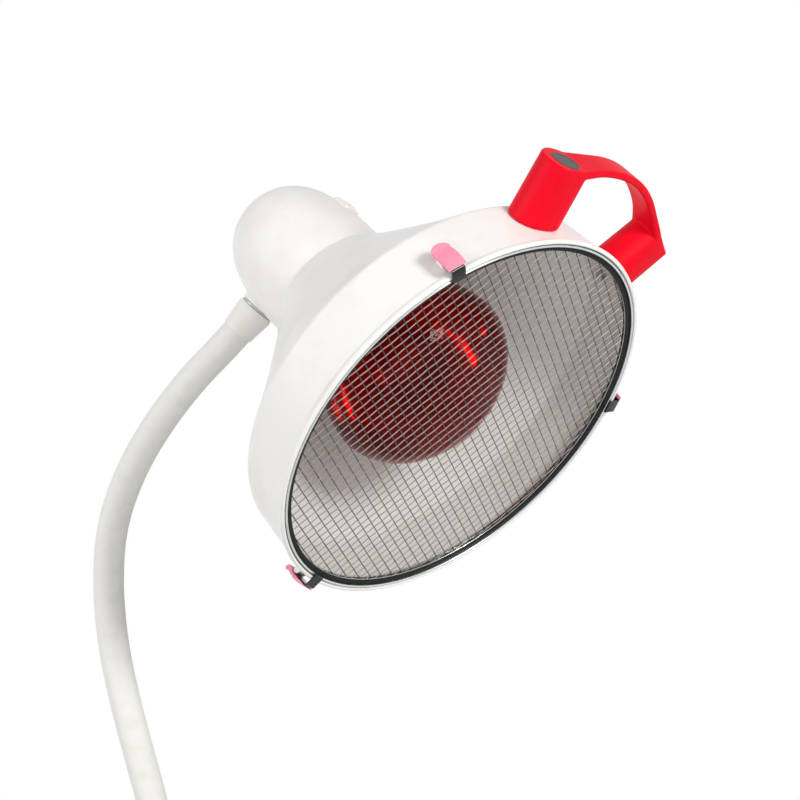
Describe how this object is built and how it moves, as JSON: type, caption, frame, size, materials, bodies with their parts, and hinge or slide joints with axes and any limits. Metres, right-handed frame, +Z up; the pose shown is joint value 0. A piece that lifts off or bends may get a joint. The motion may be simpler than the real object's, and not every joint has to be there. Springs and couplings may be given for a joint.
{
  "type": "infrared heat therapy lamp",
  "caption": "White round shade with a guard grille over a red reflector bulb, a red carrying handle and spring clips, on a flexible arm that ends in a mounting spigot.",
  "frame": {"origin": "centre of the spigot's flat lower end, which goes down into a stand or clamp", "axes": "+Z up along the spigot, +X towards the side that the arm's upper end leans to, and the head is turned from the XZ plane towards -Y"},
  "size_m": [0.3852, 0.2568, 0.5737],
  "materials": {
    "spigot": "turned bright steel",
    "lower_ferrule": "white enamel",
    "grub_screw": "blackened steel",
    "arm": "white sleeve over the flexible arm",
    "upper_ferrule": "white enamel",
    "steel": "plated steel",
    "shade": "white enamel, gloss",
    "grille_frame": "bright steel",
    "grille_gasket": "black, matte",
    "grille_mesh": "bright steel wire",
    "rear_housing": "white, satin",
    "switch_body": "white, satin",
    "lamp_holder": "glazed",
    "brass": "plain",
    "bulb_glass": "ruby red, clear",
    "bulb_stem": "clear",
    "filament": "tungsten wire",
    "handle": "red, satin",
    "grey_plastic": "dark grey, matte",
    "lead": "insulated lead",
    "switch_rocker": "white, gloss",
    "clip_hook": "blackened spring steel",
    "clip_tab": "pink, satin"
  },
  "bodies": {
    "base": {"spigot": "spigot", "lower_ferrule": "lower_ferrule", "grub_screw": "grub_screw", "arm_foot": "arm"},
    "arm_1": {"arm_section_1": "arm"},
    "arm_2": {"arm_section_2": "arm"},
    "arm_3": {"arm_section_3": "arm"},
    "arm_4": {"arm_section_4": "arm"},
    "arm_5": {"arm_section_5": "arm"},
    "arm_6": {"arm_section_6": "arm"},
    "arm_7": {"arm_section_7": "arm"},
    "arm_8": {"arm_section_8": "arm", "upper_ferrule": "upper_ferrule", "swivel_stud": "steel", "swivel_washer": "steel", "swivel_nut": "steel"},
    "head": {"shade": "shade", "grille_frame": "grille_frame", "grille_gasket": "grille_gasket", "grille_mesh": "grille_mesh", "rear_housing": "rear_housing", "housing_screw_1": "steel", "housing_screw_2": "steel", "housing_screw_3": "steel", "housing_screw_4": "steel", "switch_body": "switch_body", "lamp_holder": "lamp_holder", "holder_shell": "brass", "holder_contact": "brass", "holder_bracket": "steel", "holder_screw_1": "steel", "holder_screw_2": "steel", "bulb_glass": "bulb_glass", "bulb_cap": "brass", "bulb_contact": "steel", "bulb_stem": "bulb_stem", "filament": "filament", "handle": "handle", "handle_plug_1": "grey_plastic", "handle_screw_1": "steel", "handle_nut_1": "steel", "handle_plug_2": "grey_plastic", "handle_screw_2": "steel", "handle_nut_2": "steel", "clip_bracket_1": "steel", "clip_bracket_2": "steel", "clip_bracket_3": "steel", "terminal_block": "grey_plastic", "supply_lead": "lead", "switch_lead": "lead", "neutral_lead": "lead"},
    "rocker": {"switch_rocker": "switch_rocker"},
    "clip_1": {"clip_hook_1": "clip_hook", "clip_tab_1": "clip_tab"},
    "clip_2": {"clip_hook_2": "clip_hook", "clip_tab_2": "clip_tab"},
    "clip_3": {"clip_hook_3": "clip_hook", "clip_tab_3": "clip_tab"}
  },
  "joints": [
    {"name": "arm_bend_1", "type": "hinge", "parent": "base", "child": "arm_1", "pos_m": [-0.00124, 0, 0.10314], "axis": [0, 1, 0], "range_deg": [-15, 15]},
    {"name": "arm_bend_2", "type": "hinge", "parent": "arm_1", "child": "arm_2", "pos_m": [-0.0109, 0, 0.15595], "axis": [0.9651, 0, 0.2619], "range_deg": [-15, 15]},
    {"name": "arm_bend_3", "type": "hinge", "parent": "arm_2", "child": "arm_3", "pos_m": [-0.02566, 0, 0.20763], "axis": [0, 1, 0], "range_deg": [-15, 15]},
    {"name": "arm_bend_4", "type": "hinge", "parent": "arm_3", "child": "arm_4", "pos_m": [-0.03767, 0, 0.25999], "axis": [0.9871, 0, 0.16], "range_deg": [-15, 15]},
    {"name": "arm_bend_5", "type": "hinge", "parent": "arm_4", "child": "arm_5", "pos_m": [-0.0414, 0, 0.31353], "axis": [0, 1, 0], "range_deg": [-15, 15]},
    {"name": "arm_bend_6", "type": "hinge", "parent": "arm_5", "child": "arm_6", "pos_m": [-0.03084, 0, 0.36592], "axis": [0.9302, 0, -0.3671], "range_deg": [-15, 15]},
    {"name": "arm_bend_7", "type": "hinge", "parent": "arm_6", "child": "arm_7", "pos_m": [-0.00483, 0, 0.4128], "axis": [0, 1, 0], "range_deg": [-15, 15]},
    {"name": "arm_bend_8", "type": "hinge", "parent": "arm_7", "child": "arm_8", "pos_m": [0.02997, 0, 0.45369], "axis": [0.7027, 0, -0.7115], "range_deg": [-15, 15]},
    {"name": "head_swivel", "type": "hinge", "parent": "arm_8", "child": "head", "pos_m": [0.09366, 0, 0.52222], "axis": [0.6743, 0, 0.7385], "range_deg": [-64, 116]},
    {"name": "rocker_tilt", "type": "hinge", "parent": "head", "child": "rocker", "pos_m": [0.12272, 0, 0.55405], "axis": [-0.6637, 0.4384, 0.6061], "range_deg": [0, 14]},
    {"name": "clip_open_1", "type": "hinge", "parent": "head", "child": "clip_1", "pos_m": [0.21637, -0.18073, 0.50517], "axis": [-0.745, -0.4602, -0.4829], "range_deg": [0, 22], "stiffness_Nm_per_rad": 0.5, "springref_deg": -20.05},
    {"name": "clip_open_2", "type": "hinge", "parent": "head", "child": "clip_2", "pos_m": [0.11139, -0.08526, 0.32116], "axis": [0.2662, 0.8956, -0.3564], "range_deg": [0, 22], "stiffness_Nm_per_rad": 0.5, "springref_deg": -20.05},
    {"name": "clip_open_3", "type": "hinge", "parent": "head", "child": "clip_3", "pos_m": [0.28979, 0.03366, 0.43051], "axis": [0.4423, -0.4233, 0.7906], "range_deg": [0, 22], "stiffness_Nm_per_rad": 0.5, "springref_deg": -20.05}
  ]
}
